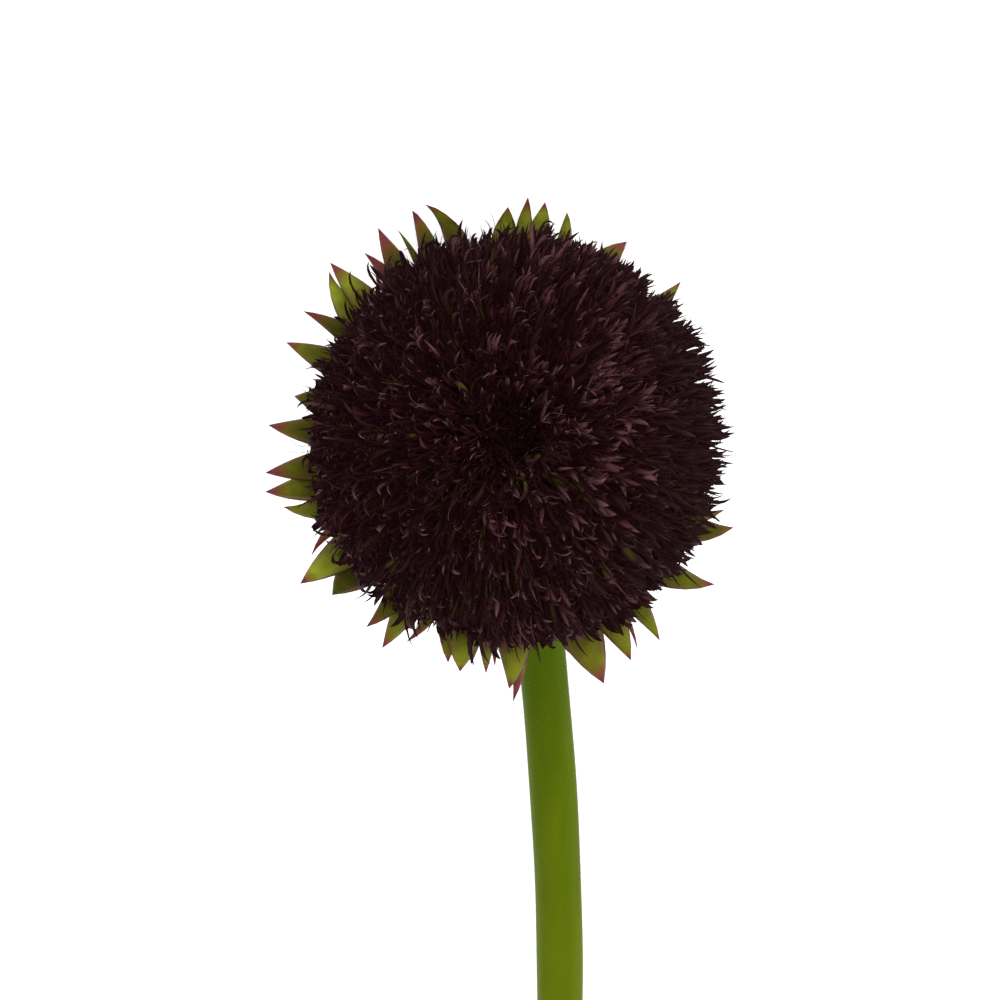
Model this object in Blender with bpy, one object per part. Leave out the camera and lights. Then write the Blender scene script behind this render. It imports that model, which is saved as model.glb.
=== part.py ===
"""A cut pompon gerbera that lies on a flat surface, at its real size. Metres, +Z up.

The stem runs along the surface from its cut end at -Y, bends up at the neck and widens into the receptacle.
The head leans away from the stem and rests on the tips of its lowest bracts.
Head frame: u is to the side (+X), v is along the face and away from the stem, a is the way the face looks.
a = 0 is about the plane in which the longest bracts spread.
"""

import math
import random

import bpy
from mathutils import Matrix, Vector

MM = 0.001
GOLDEN_ANGLE = math.pi * (3 - math.sqrt(5))
SEED = 11
GAP = 0.3 * MM  # left between pieces that touch

# Place of the head
HEAD_TILT = math.radians(40)  # from straight up, away from the stem
HEAD_CENTRE = Vector((0.0, 0.1120, 0.0288))

# Stem, and the receptacle it swells into
STEM_RADIUS = 4.8 * MM
STEM_SIDES = 14
STEM_END_Y = -0.1479
STEM_STEP = 12 * MM
CUT_SLANT = math.radians(24)
BOW = 24.8 * MM  # how far the lying stem bows sideways
BOW_Y = -0.1180  # where it bows furthest
BOW_BEND = 0.435  # half of its curvature, per metre
NECK_Y = 0.0620  # the neck starts to rise here
NECK_PULL = 36 * MM  # how strongly the neck keeps the ways of its two ends
NECK_STEPS = 6
# Radius and a, in mm
RECEPTACLE = ((4.9, -17.0), (6.4, -15.4), (10.4, -12.0), (14.6, -8.0), (16.9, -4.4), (17.4, -2.2))

# Involucre: a cup round the receptacle, and its bracts
CUP_SIDES = 28
CUP_WALL = 1.3 * MM
CUP_RIM_WALL = 0.8 * MM
CUP_DROP = 0.5 * MM  # the outer side sits this much lower than the inner one
CUP_FOOT = 1  # the cup starts at this point of the receptacle's outline
PIXEL = 0.184 * MM  # one pixel of the photograph in the plane of the bracts
PHOTO_CENTRE = (499, 440)  # pixel in the middle of the ring of bracts
CAMERA_DISTANCE = 0.800  # from there to where the camera stood
CAMERA_LEFT, CAMERA_DOWN = math.radians(4.6), math.radians(3.4)  # how far it stood off the head's axis
# Tips of the bracts that show round the florets: pixel across, pixel down, lean in degrees, half width in mm
PHOTO_BRACTS = (
    (545, 201, 8, 3.6), (528, 196, 6, 2.9), (508, 206, 0, 3.8), (425, 204, 32, 3.2), (412, 210, 3, 3.1),
    (397, 229, 13, 2.0), (378, 228, -5, 3.5), (364, 253, 18, 3.0), (330, 263, -2, 3.7), (329, 272, -34, 3.5),
    (303, 312, 14, 2.9), (286, 343, 2, 3.7), (294, 397, 0, 4.2), (268, 426, -8, 3.7), (265, 474, -2, 3.7),
    (265, 493, -11, 3.9), (283, 508, -34, 3.4), (311, 557, 34, 2.4), (300, 585, 0, 4.2), (332, 596, 4, 5.2),
    (366, 628, -20, 3.4), (382, 649, -5, 3.7), (406, 643, -30, 2.6), (448, 663, 15, 3.9), (460, 672, 5, 4.8),
    (471, 665, 0, 3.2), (486, 674, 3, 3.1), (495, 667, 4, 2.4), (509, 689, -19, 4.4), (513, 702, -20, 3.0),
    (604, 683, 0, 5.1), (631, 660, -11, 4.2), (638, 651, -24, 1.9), (660, 640, -13, 3.5), (715, 583, 34, 4.1),
    (734, 526, 36, 4.2), (725, 508, 42, 3.4), (681, 280, 10, 3.4), (627, 240, -20, 4.6), (567, 211, 22, 3.0),
)
HIDDEN_STEP = math.radians(9.5)  # a gap twice as wide between two bracts that show holds hidden ones
HIDDEN_REACH = (35.1 * MM, 37.0 * MM)
BRACT_HALF_WIDTH = 3.3 * MM
BRACT_THICK = 0.9 * MM
BRACT_POINT = 2.9  # a higher power keeps a bract wide for longer, and wide bracts have a higher one
BRACT_HOOK = 6  # a higher power keeps the lean nearer to the tip
BRACT_STATIONS = (0.0, 0.3, 0.62, 0.86)  # shares of the way from root to tip
BRACT_DROOP = 2.0 * MM  # at most, at the tip
EDGE_HEIGHT = 0.35 * MM  # of a bract's edges where it lies on the surface
TIP_HEIGHT = 0.15 * MM
# Rows of bracts, from the florets towards the stem: root radius, root a and a of the spread, in mm
SPREAD_ROWS = ((16.8, -6.0, -1.4), (15.8, -7.6, -3.2))
# The same, then least and greatest reach in mm, number of bracts and droop in mm
LOWER_ROWS = ((13.6, -10.2, -6.6, 30.7, 35.3, 17, 1.0), (9.6, -13.6, -10.4, 22.8, 26.2, 13, 1.6))
LOWER_SWAY = 0.15  # of the step between two bracts, either way

# Florets: a dome of narrow petals on a core
DOME_CENTRE = 2.5 * MM  # a of the middle of the dome
DOME_RADIUS, DOME_HEIGHT = 39.4 * MM, 33.5 * MM
DOME_ASIDE = (2.4 * MM, -0.9 * MM)  # along u and v: the florets are longer on one side than on the other
CORE_RADIUS, CORE_HEIGHT = 27.5 * MM, 24.0 * MM
CORE_BOTTOM, CORE_FOOT_RADIUS = -1.7 * MM, 25.0 * MM
CORE_SIDES = 28
CORE_RINGS = 6
FLORET_COUNT = 390
FLORET_FIRST, FLORET_LAST = math.radians(17), math.radians(92)  # angles from the axis
FLORET_SWEEP = (math.radians(2.4), math.radians(9))  # how far a floret bends outwards
LOWEST_TIP = math.radians(91)
FLORET_SWAY = 0.03  # radians either way round the axis, at the tip
FLORET_ROLL = 0.6  # radians either way
FLORET_DEPTH = 2.0 * MM  # of its root in the core
FLORET_MIDDLE = 0.52  # it is widest at this share of the way from the core to the dome
FLORET_TIP = (0.83, 1.08)  # share of that way at which it ends
FLORET_HALF_WIDTH, FLORET_ROOT_HALF_WIDTH = 1.65 * MM, 1.0 * MM
FLORET_FULLNESS = (0.85, 1.1)  # its own share of those widths
FLORET_THICK = 0.95 * MM

# Centre florets: a button of short ones that are still closed, in a hollow of the core
CENTRE_RADIUS, CENTRE_SHOULDER_RADIUS = 6.6 * MM, 4.6 * MM
CENTRE_FLOOR, CENTRE_EDGE, CENTRE_SHOULDER, CENTRE_TOP = 22.6 * MM, 26.0 * MM, 28.1 * MM, 29.0 * MM
CENTRE_SIDES = 14
SPIKE_COUNT = 40
SPIKE_ROOT = 25.0 * MM  # a of the spikes' roots
SPIKE_ROOT_SPREAD, SPIKE_TIP_SPREAD = 5.7 * MM, 6.6 * MM
SPIKE_LENGTH = (3.4 * MM, 4.4 * MM)  # above the button
SPIKE_MIDDLE = 0.67  # a spike keeps its width up to this share of its length
SPIKE_EDGE_DROP = 1.5 * MM  # the outer spikes are this much lower
SPIKE_HALF_WIDTH, SPIKE_THICK = 0.7 * MM, 1.0 * MM

# Colour and roughness of each material
BURGUNDY = ((0.030, 0.006, 0.009), 0.55)
DARK_CENTRE = ((0.012, 0.004, 0.007), 0.60)
BRACT_GREEN = ((0.200, 0.215, 0.020), 0.50)
STEM_GREEN = ((0.100, 0.150, 0.008), 0.45)
SHARP_EDGE = math.radians(50)  # edges of the stem that are sharper than this aren't shaded smooth


def clear_scene():
    for obj in list(bpy.data.objects):
        bpy.data.objects.remove(obj)


def material(name, look):
    """A Principled material with this colour and roughness."""
    made = bpy.data.materials.new(name)
    made.use_nodes = True
    shader = made.node_tree.nodes["Principled BSDF"]
    shader.inputs["Base Color"].default_value = (*look[0], 1.0)
    shader.inputs["Roughness"].default_value = look[1]
    shader.inputs["Metallic"].default_value = 0.0
    return made


def new_object(name, points, faces, collection=None):
    mesh = bpy.data.meshes.new(name)
    mesh.from_pydata([tuple(point) for point in points], [], faces)
    obj = bpy.data.objects.new(name, mesh)
    (collection or bpy.context.scene.collection).objects.link(obj)
    return obj


def loft(rings, tip=None):
    """Points and faces of a closed skin over rings of equal size, which ends flat or in a tip."""
    size = len(rings[0])
    points = [point for ring in rings for point in ring]
    faces = [tuple(reversed(range(size)))]
    for row in range(len(rings) - 1):
        for k in range(size):
            here, beside = row * size + k, row * size + (k + 1) % size
            faces.append((here, beside, beside + size, here + size))
    last = (len(rings) - 1) * size
    if tip is None:
        faces.append(tuple(range(last, last + size)))
    else:
        points.append(tip)
        faces += [(last + k, last + (k + 1) % size, len(points) - 1) for k in range(size)]
    return points, faces


def turned(outline, sides):
    """Points and faces of a closed outline of (radius, a), turned about the head's axis.

    The outline runs up its outer side and back down the inner side or the axis. A radius of 0 is one point.
    """
    points, rows = [], []
    for radius, a in outline:
        if radius == 0:
            rows.append([len(points)] * sides)
            points.append(Vector((0, 0, a)))
        else:
            rows.append(list(range(len(points), len(points) + sides)))
            points += [around(radius, 2 * math.pi * k / sides, a) for k in range(sides)]
    faces = []
    for low, high in zip(rows, rows[1:] + rows[:1]):
        for k in range(sides):
            n = (k + 1) % sides
            corners = dict.fromkeys((low[k], low[n], high[n], high[k]))
            if len(corners) > 2:
                faces.append(tuple(corners))
    return points, faces


def helper_collection(name):
    made = bpy.data.collections.new(name)
    bpy.context.scene.collection.children.link(made)
    return made


def joined(base, collection):
    """base becomes one body with every object of the collection, which is then removed."""
    union = base.modifiers.new("union", "BOOLEAN")
    union.operation = "UNION"
    union.operand_type = "COLLECTION"
    union.collection = collection
    bpy.context.view_layer.update()
    graph = bpy.context.evaluated_depsgraph_get()
    mesh = bpy.data.meshes.new_from_object(base.evaluated_get(graph))
    base.modifiers.clear()
    base.data = mesh
    for obj in list(collection.objects):
        bpy.data.objects.remove(obj)
    bpy.data.collections.remove(collection)
    return base


def head_matrix():
    """Turns the head frame (u, v, a) into the part's frame."""
    return Matrix.Translation(HEAD_CENTRE) @ Matrix.Rotation(-HEAD_TILT, 4, "X")


def lifted(point, least):
    """A point of the head, moved straight up to at least this height above the surface."""
    world = head_matrix() @ point
    world.z = max(world.z, least)
    return head_matrix().inverted() @ world


def around(radius, turn, a):
    return Vector((radius * math.cos(turn), radius * math.sin(turn), a))


def blade_rings(centres, side, half_widths, thick):
    """Three-cornered rings along a curved blade: its two edges, and a keel on the side towards the stem."""
    rings = []
    for i, (centre, half) in enumerate(zip(centres, half_widths)):
        ahead = centres[min(i + 1, len(centres) - 1)] - centres[max(i - 1, 0)]
        across = (side - side.project(ahead)).normalized()
        keel = across.cross(ahead).normalized() * thick
        rings.append((centre + across * half, centre - across * half, centre + keel))
    return rings


# Stem


def lying(y):
    """The middle line of the lying stem at y."""
    return Vector((BOW - BOW_BEND * (y - BOW_Y) ** 2, y, STEM_RADIUS * math.cos(math.pi / STEM_SIDES)))


def between(start, start_way, end, end_way, t):
    """A point of the smooth curve from start to end that leaves and arrives along the two ways."""
    return (
        start * (1 - 3 * t**2 + 2 * t**3)
        + end * (3 * t**2 - 2 * t**3)
        + start_way * (t - 2 * t**2 + t**3)
        + end_way * (t**3 - t**2)
    )


def stem_line():
    """Middle points of the stem from its cut end to the receptacle's foot, that foot, and the head's axis."""
    axis = head_matrix().to_3x3() @ Vector((0, 0, 1))
    foot = HEAD_CENTRE + axis * RECEPTACLE[0][1] * MM
    count = round((NECK_Y - STEM_END_Y) / STEM_STEP)
    line = [lying(STEM_END_Y + (NECK_Y - STEM_END_Y) * i / count) for i in range(count + 1)]
    way = (lying(NECK_Y + MM) - lying(NECK_Y - MM)).normalized()
    for i in range(1, NECK_STEPS):
        line.append(between(line[count], way * NECK_PULL, foot, axis * NECK_PULL, i / NECK_STEPS))
    return line, foot, axis


def round_ring(centre, across, upward, radius, shear):
    """A ring with a flat side down. shear moves its points along the stem by their height."""
    ring = []
    for k in range(STEM_SIDES):
        turn = 2 * math.pi * (k + 0.5) / STEM_SIDES - math.pi / 2
        aside, high = radius * math.cos(turn), radius * math.sin(turn)
        ring.append(centre + across * aside + upward * high + shear * high)
    return ring


def stem():
    """The stem and the receptacle as one body. The cut at the far end slants."""
    line, foot, axis = stem_line()
    rings = []
    for i, centre in enumerate(line):
        after = line[i + 1] if i + 1 < len(line) else foot
        way = (after - line[max(i - 1, 0)]).normalized()
        across = Vector((0, 0, 1)).cross(way).normalized()
        shear = way * math.tan(CUT_SLANT) if i == 0 else Vector()
        rings.append(round_ring(centre, across, way.cross(across), STEM_RADIUS, shear))
    across = Vector((-1, 0, 0))
    for radius, a in RECEPTACLE:
        centre = HEAD_CENTRE + axis * a * MM
        rings.append(round_ring(centre, across, axis.cross(across), radius * MM, Vector()))
    return new_object("stem", *loft(rings))


# Involucre


def place_seen(x, y, a):
    """The (u, v) of a point at height a that the photograph shows at this pixel."""
    u, v = (x - PHOTO_CENTRE[0]) * PIXEL, (PHOTO_CENTRE[1] - y) * PIXEL
    nearer = 1 - (a - u * math.tan(CAMERA_LEFT) - v * math.tan(CAMERA_DOWN)) / CAMERA_DISTANCE
    return (
        u * nearer / math.cos(CAMERA_LEFT) - a * math.tan(CAMERA_LEFT),
        v * nearer / math.cos(CAMERA_DOWN) - a * math.tan(CAMERA_DOWN),
    )


def tip_place(x, y, a):
    """The (u, v) that a tip at height a needs, to show at this pixel once it is lifted onto the surface."""
    u, v = place_seen(x, y, a)
    for _ in range(3):
        surface = (v * math.sin(HEAD_TILT) - HEAD_CENTRE.z + TIP_HEIGHT) / math.cos(HEAD_TILT)
        u, v = place_seen(x, y, max(a, surface))
    return u, v + max(surface - a, 0) * math.tan(HEAD_TILT)


def spread_bracts():
    """The longest bracts all round: those of the photograph, and hidden ones in the gaps between them.

    Each is its turn, reach, lean, half width, row and droop.
    """
    draw = random.Random(SEED)
    seen = sorted(
        (math.atan2(PHOTO_CENTRE[1] - y, x - PHOTO_CENTRE[0]) % (2 * math.pi), x, y, *rest)
        for x, y, *rest in PHOTO_BRACTS
    )
    made = []
    for i, (seen_turn, x, y, lean, half) in enumerate(seen):
        row, droop = SPREAD_ROWS[len(made) % 2], draw.uniform(0.0, BRACT_DROOP)
        u, v = tip_place(x, y, row[2] * MM - droop)
        made.append((math.atan2(v, u), math.hypot(u, v), math.radians(lean), half * MM, row, droop))
        gap = (seen[(i + 1) % len(seen)][0] - seen_turn) % (2 * math.pi)
        hidden = int(gap / HIDDEN_STEP) - 1
        for k in range(hidden):
            turn, reach = seen_turn + gap * (k + 1) / (hidden + 1), draw.uniform(*HIDDEN_REACH)
            row, droop = SPREAD_ROWS[len(made) % 2], draw.uniform(0.0, BRACT_DROOP)
            made.append((turn, reach, 0.0, BRACT_HALF_WIDTH, row, droop))
    return made


def lower_bracts():
    """The shorter bracts under them, in the same terms."""
    draw = random.Random(SEED + 1)
    made = []
    for row in LOWER_ROWS:
        least, most, count, droop = row[3:]
        for k in range(count):
            turn = 2 * math.pi * (k + draw.uniform(-LOWER_SWAY, LOWER_SWAY)) / count
            reach = draw.uniform(least, most) * MM
            made.append((turn, reach, 0.0, BRACT_HALF_WIDTH, row, droop * MM))
    return made


def bract(collection, turn, reach, lean, half_width, row, droop):
    """A pointed bract that rises from the cup and spreads. It lies flat where it meets the surface."""
    root_radius, root_a, spread_a = (size * MM for size in row[:3])
    length = reach - root_radius
    point = BRACT_POINT * half_width / BRACT_HALF_WIDTH
    centres, halves = [], []
    for t in (*BRACT_STATIONS, 1.0):
        aside = -math.tan(lean) * length * (1 - t**BRACT_HOOK) / BRACT_HOOK
        a = root_a + (spread_a - root_a) * (1 - (1 - t) ** 2) - droop * t**3
        centres.append(around(root_radius + t * length, turn, a) + around(aside, turn + math.pi / 2, 0))
        halves.append(half_width * (1 - t**point))
    rings = blade_rings(centres, around(1, turn + math.pi / 2, 0), halves, BRACT_THICK)
    laid = [(lifted(r[0], EDGE_HEIGHT), lifted(r[1], EDGE_HEIGHT), lifted(r[2], 0.0)) for r in rings[:-1]]
    return new_object("bract", *loft(laid, lifted(centres[-1], TIP_HEIGHT)), collection)


def cup():
    """The closed shell that holds the receptacle."""
    inner = [(radius * MM + GAP, a * MM) for radius, a in RECEPTACLE[CUP_FOOT:]]
    outer = [(radius + CUP_WALL, a - CUP_DROP) for radius, a in inner[:-1]]
    outer.append((inner[-1][0] + CUP_RIM_WALL, inner[-1][1]))
    return new_object("involucre", *turned(outer + inner[::-1], CUP_SIDES))


def involucre():
    """The cup and its four rows of bracts as one body."""
    blades = helper_collection("bracts")
    for numbers in spread_bracts() + lower_bracts():
        bract(blades, *numbers)
    return joined(cup(), blades)


# Florets


def on_dome(share, angle, turn):
    """A point at this share of the way from the core's skin to the dome's, at an angle from the axis."""
    radius = CORE_RADIUS + (DOME_RADIUS - CORE_RADIUS) * share
    height = CORE_HEIGHT + (DOME_HEIGHT - CORE_HEIGHT) * share
    aside = Vector((*DOME_ASIDE, 0)) * share * (1 - math.cos(angle))
    return around(radius * math.sin(angle), turn, DOME_CENTRE + height * math.cos(angle)) + aside


def floret(collection, angle, turn, draw):
    """One petal: rooted in the core, widest past its middle, bent outwards, pointed."""
    tip_angle = min(angle + draw.uniform(*FLORET_SWEEP), LOWEST_TIP)
    root = on_dome(-FLORET_DEPTH / (DOME_RADIUS - CORE_RADIUS), angle, turn)
    middle = on_dome(FLORET_MIDDLE, angle, turn)
    tip = on_dome(draw.uniform(*FLORET_TIP), tip_angle, turn + draw.uniform(-FLORET_SWAY, FLORET_SWAY))
    roll = Matrix.Rotation(draw.uniform(-FLORET_ROLL, FLORET_ROLL), 3, tip - root)
    side = roll @ around(1, turn + math.pi / 2, 0)
    fullness = draw.uniform(*FLORET_FULLNESS)
    halves = [FLORET_ROOT_HALF_WIDTH * fullness, FLORET_HALF_WIDTH * fullness, 0]
    rings = blade_rings([root, middle, tip], side, halves, FLORET_THICK)
    return new_object("floret", *loft(rings[:2], tip), collection)


def core():
    """The packed bases of the florets, with a hollow at the top for the centre florets."""
    hollow = CENTRE_RADIUS + GAP
    last = math.asin(hollow / CORE_RADIUS)
    outline = [(0, CORE_BOTTOM), (CORE_FOOT_RADIUS, CORE_BOTTOM)]
    for k in range(CORE_RINGS + 1):
        angle = math.pi / 2 + (last - math.pi / 2) * k / CORE_RINGS
        outline.append((CORE_RADIUS * math.sin(angle), DOME_CENTRE + CORE_HEIGHT * math.cos(angle)))
    outline += [(hollow, CENTRE_FLOOR - GAP), (0, CENTRE_FLOOR - GAP)]
    return new_object("florets", *turned(outline, CORE_SIDES))


def florets():
    """The dome of petals, which stand on the turns of a spiral and are evenly spread over the core."""
    petals = helper_collection("petals")
    draw = random.Random(SEED + 2)
    first, final = math.cos(FLORET_FIRST), math.cos(FLORET_LAST)
    for i in range(FLORET_COUNT):
        angle = math.acos(first + (final - first) * (i + 0.5) / FLORET_COUNT)
        floret(petals, angle, i * GOLDEN_ANGLE, draw)
    return joined(core(), petals)


def centre_florets():
    """The dark middle of the head: a button covered with short upright spikes."""
    outline = [(0, CENTRE_FLOOR), (CENTRE_RADIUS, CENTRE_FLOOR), (CENTRE_RADIUS, CENTRE_EDGE)]
    outline += [(CENTRE_SHOULDER_RADIUS, CENTRE_SHOULDER), (0, CENTRE_TOP)]
    button = new_object("centre_florets", *turned(outline, CENTRE_SIDES))
    spikes = helper_collection("spikes")
    draw = random.Random(SEED + 3)
    for i in range(SPIKE_COUNT):
        share = math.sqrt((i + 0.5) / SPIKE_COUNT)
        turn = i * GOLDEN_ANGLE
        root = around(SPIKE_ROOT_SPREAD * share, turn, SPIKE_ROOT)
        top = CENTRE_TOP + draw.uniform(*SPIKE_LENGTH) - SPIKE_EDGE_DROP * share
        tip = around(SPIKE_TIP_SPREAD * share, turn, top)
        middle = root.lerp(tip, SPIKE_MIDDLE)
        halves = [SPIKE_HALF_WIDTH, SPIKE_HALF_WIDTH, 0]
        rings = blade_rings([root, middle, tip], around(1, turn + math.pi / 2, 0), halves, SPIKE_THICK)
        new_object("spike", *loft(rings[:2], tip), spikes)
    return joined(button, spikes)


def main():
    clear_scene()
    head = bpy.data.objects.new("head", None)
    bpy.context.scene.collection.objects.link(head)
    head.location = HEAD_CENTRE
    head.rotation_euler = (-HEAD_TILT, 0, 0)
    head_pieces = (
        (involucre(), material("bract_green", BRACT_GREEN)),
        (florets(), material("burgundy", BURGUNDY)),
        (centre_florets(), material("dark_centre", DARK_CENTRE)),
    )
    for obj, look in head_pieces:
        obj.parent = head
        obj.data.materials.clear()
        obj.data.materials.append(look)
    stalk = stem()
    stalk.data.materials.append(material("stem_green", STEM_GREEN))
    stalk.data.shade_smooth()
    stalk.data.set_sharp_from_angle(angle=SHARP_EDGE)


main()
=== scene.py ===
"""The looks of a cut pompon gerbera that lies on a pale surface. Metres, +Z up.

Head frame: u is to the side (+X), v is along the face and away from the stem, a is the way the face looks.
"""

import math
import random
from dataclasses import dataclass

import bpy
import numpy as np
from mathutils import Matrix, Vector


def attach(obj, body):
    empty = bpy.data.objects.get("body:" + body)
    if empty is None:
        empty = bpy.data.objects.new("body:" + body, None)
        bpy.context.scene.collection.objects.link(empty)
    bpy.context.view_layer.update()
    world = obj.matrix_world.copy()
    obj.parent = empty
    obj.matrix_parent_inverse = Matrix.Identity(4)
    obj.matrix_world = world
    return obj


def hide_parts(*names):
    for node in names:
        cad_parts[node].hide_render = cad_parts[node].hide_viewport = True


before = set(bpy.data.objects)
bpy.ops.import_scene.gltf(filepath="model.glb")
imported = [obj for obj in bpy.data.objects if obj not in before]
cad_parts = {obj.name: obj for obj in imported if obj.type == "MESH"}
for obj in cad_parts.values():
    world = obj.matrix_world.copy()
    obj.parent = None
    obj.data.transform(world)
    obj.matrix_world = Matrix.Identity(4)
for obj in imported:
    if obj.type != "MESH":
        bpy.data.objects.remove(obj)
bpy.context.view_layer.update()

MM = 0.001
GOLDEN_ANGLE = math.pi * (3 - math.sqrt(5))
SEED = 11
RIPPLE_WAVES = 8

# Place of the head, as in the solids
HEAD_TILT = math.radians(40)
HEAD_CENTRE = np.array((0.0, 0.1120, 0.0288))
U_AXIS = np.array((1.0, 0.0, 0.0))
V_AXIS = np.array((0.0, math.cos(HEAD_TILT), -math.sin(HEAD_TILT)))
A_AXIS = np.array((0.0, math.sin(HEAD_TILT), math.cos(HEAD_TILT)))

# Camera, from the photograph
PHOTO_SIZE = 1000
PIXEL = 0.184 * MM  # one pixel in the plane of the bracts
PHOTO_CENTRE = (499, 440)  # pixel in the middle of the ring of bracts
CAMERA_DISTANCE = 0.800
CAMERA_LEFT = math.radians(4.6)  # how far the camera stands off the head's axis
CAMERA_DOWN = math.radians(3.4)
SENSOR = 36.0

# Stem, as in the solids
STEM_RADIUS = 4.8 * MM
STEM_HEIGHT = STEM_RADIUS * math.cos(math.pi / 14)
STEM_END_Y = -0.1479
CUT_SLANT = math.radians(24)
BOW, BOW_Y, BOW_BEND = 24.8 * MM, -0.1180, 0.435  # how far aside it bows, where, and how sharply
NECK_Y, NECK_PULL = 0.0620, 36 * MM  # where it bends up to the head, and how gently
LYING_STATIONS, NECK_STATIONS, TOP_STATIONS = 90, 25, 16
STEM_SIDES = 48
STEM_RIDGES = ((0.010, 9, 0.5), (0.006, 5, 2.0))  # depth, how many round the stem, and start
STEM_SWELLS = ((0.012, 0.31, 0.0), (0.008, 0.13, 1.0))  # depth, turn from station to station, and start
CUT_INSETS = (1.0, 0.86, 0.55, 0.25)  # rings of the cut face, as shares of its size
HAIRS, HAIR_LENGTH, HAIR_RADII = 7000, (0.2, 0.55), (0.018, 0.013, 0.0)  # length and radii in mm
HAIR_ROOT, HAIR_STRAY, HAIR_LEAN = 0.985, 0.35, 0.5  # they start inside the skin and lean to the head
HAIR_ROOT_CLEAR, HAIR_TIP_CLEAR = 0.3 * MM, 0.1 * MM  # lower ones would meet the surface
BARE_STATIONS = 14  # at the top, where the cup covers the stem
# Radius and height of the receptacle's outline in the head frame, in mm, from the neck up
RECEPTACLE = ((4.9, -17.0), (6.4, -15.4), (10.4, -12.0), (14.6, -8.0), (16.9, -4.4), (17.4, -2.2))

# Bracts, as in the solids

# Tips that the photograph shows: pixel across, pixel down, lean in degrees, half width in mm,
# how far the red comes down and how light the green is
PHOTO_BRACTS = (
    (545, 201, 8, 3.6, 0.35, 0.95), (528, 196, 6, 2.9, 0.60, 0.75), (508, 206, 0, 3.8, 0.30, 0.80),
    (425, 204, 32, 3.2, 0.35, 0.50), (412, 210, 3, 3.1, 0.75, 0.35), (397, 229, 13, 2.0, 0.20, 0.40),
    (378, 228, -5, 3.5, 0.85, 0.30), (364, 253, 18, 3.0, 0.95, 0.20), (330, 263, -2, 3.7, 0.60, 0.95),
    (329, 272, -34, 3.5, 0.35, 0.90), (303, 312, 14, 2.9, 0.70, 0.25), (286, 343, 2, 3.7, 0.40, 0.50),
    (294, 397, 0, 4.2, 0.20, 0.15), (268, 426, -8, 3.7, 0.60, 0.40), (265, 474, -2, 3.7, 0.65, 0.45),
    (265, 493, -11, 3.9, 0.50, 0.60), (283, 508, -34, 3.4, 0.25, 0.60), (311, 557, 34, 2.4, 0.90, 0.50),
    (300, 585, 0, 4.2, 0.40, 0.95), (332, 596, 4, 5.2, 0.10, 0.10), (366, 628, -20, 3.4, 0.50, 0.30),
    (382, 649, -5, 3.7, 0.40, 0.60), (406, 643, -30, 2.6, 0.80, 0.50), (448, 663, 15, 3.9, 0.30, 0.45),
    (460, 672, 5, 4.8, 0.20, 0.60), (471, 665, 0, 3.2, 0.30, 0.40), (486, 674, 3, 3.1, 0.30, 0.50),
    (495, 667, 4, 2.4, 0.90, 0.20), (509, 689, -19, 4.4, 0.25, 0.60), (513, 702, -20, 3.0, 1.00, 0.90),
    (604, 683, 0, 5.1, 0.45, 0.50), (631, 660, -11, 4.2, 0.30, 0.50), (638, 651, -24, 1.9, 0.80, 0.30),
    (660, 640, -13, 3.5, 0.20, 0.50), (715, 583, 34, 4.1, 0.35, 0.40), (734, 526, 36, 4.2, 0.30, 0.20),
    (725, 508, 42, 3.4, 0.20, 0.35), (681, 280, 10, 3.4, 0.30, 0.50), (627, 240, -20, 4.6, 0.45, 0.35),
    (567, 211, 22, 3.0, 0.20, 0.60),
)
HIDDEN_STEP = math.radians(9.5)  # least turn between a hidden bract and the next one
HIDDEN_REACH = (35.1 * MM, 37.0 * MM)
BRACT_HALF_WIDTH = 3.3 * MM
BRACT_POINT, BRACT_HOOK = 2.9, 6  # powers of the narrowing to the tip and of a leaning one's bend
BRACT_DROOP, TIP_HEIGHT = 2.0 * MM, 0.15 * MM
BRACT_FOLD = (0.12, 0.32)  # how far the edges rise, in half widths
LEAST_LIFT = 0.3 * MM  # of a bract's upper side over the surface
HIDDEN_RED, HIDDEN_LIGHT, LOWER_LIGHT = 0.3, 0.3, 0.4  # colour of those that the photograph doesn't show
# Rows in mm: radius and height of the roots, and the height at which they spread
SPREAD_ROWS = ((16.8, -6.0, -1.4), (15.8, -7.6, -3.2))
# The same, then least and greatest reach, how many, and droop
LOWER_ROWS = ((13.6, -10.2, -6.6, 30.7, 35.3, 17, 1.0), (9.6, -13.6, -10.4, 22.8, 26.2, 13, 1.6))
LOWER_SWAY = 0.15  # share of the step between two of them
BRACT_STATIONS, BRACT_COLUMNS = 15, 7
BRACT_THICK = 0.7 * MM
CUP_RED = 0.1
CUP_WALL, CUP_RIM_WALL, GAP, CUP_DROP = 1.3 * MM, 0.8 * MM, 0.3 * MM, 0.5 * MM
TURNED_SIDES = 64

# Dome of florets
DOME_CENTRE = 2.5 * MM
DOME_RADIUS, DOME_HEIGHT = 39.4 * MM, 33.5 * MM
DOME_ASIDE = (2.4 * MM, -0.9 * MM)  # along u and v
CORE_RADIUS, CORE_HEIGHT = 27.5 * MM, 24.0 * MM
CORE_BOTTOM, CORE_FOOT = -1.7 * MM, 25.0 * MM
CORE_RINGS = 20
SWEEP = np.array((0.95, 0.10, 0.0))  # all the florets lean this way, as if brushed by a hand
BRUSH = np.array((0.0, 0.60, 0.25))  # and those of the right rim this way as well
BRUSH_LOW = np.array((0.32, 0.26, 0.0))  # and those below the middle
OLIVE_SIDE = math.radians(292)  # the turn at which most olive shows
PAINTED_LIGHT_TURN = math.radians(40)  # the turn at which the florets are lightest: painted light, on the side that the light comes from
HOLLOW, HOLLOW_SPREAD = 0.12, math.radians(16)  # how much lower the florets end near the middle
FLORET_BOTTOM = -0.9 * MM
RIM_FIRST, RIM_LAST = math.radians(58), math.radians(84)  # angles at which the rim starts and is full
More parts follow.
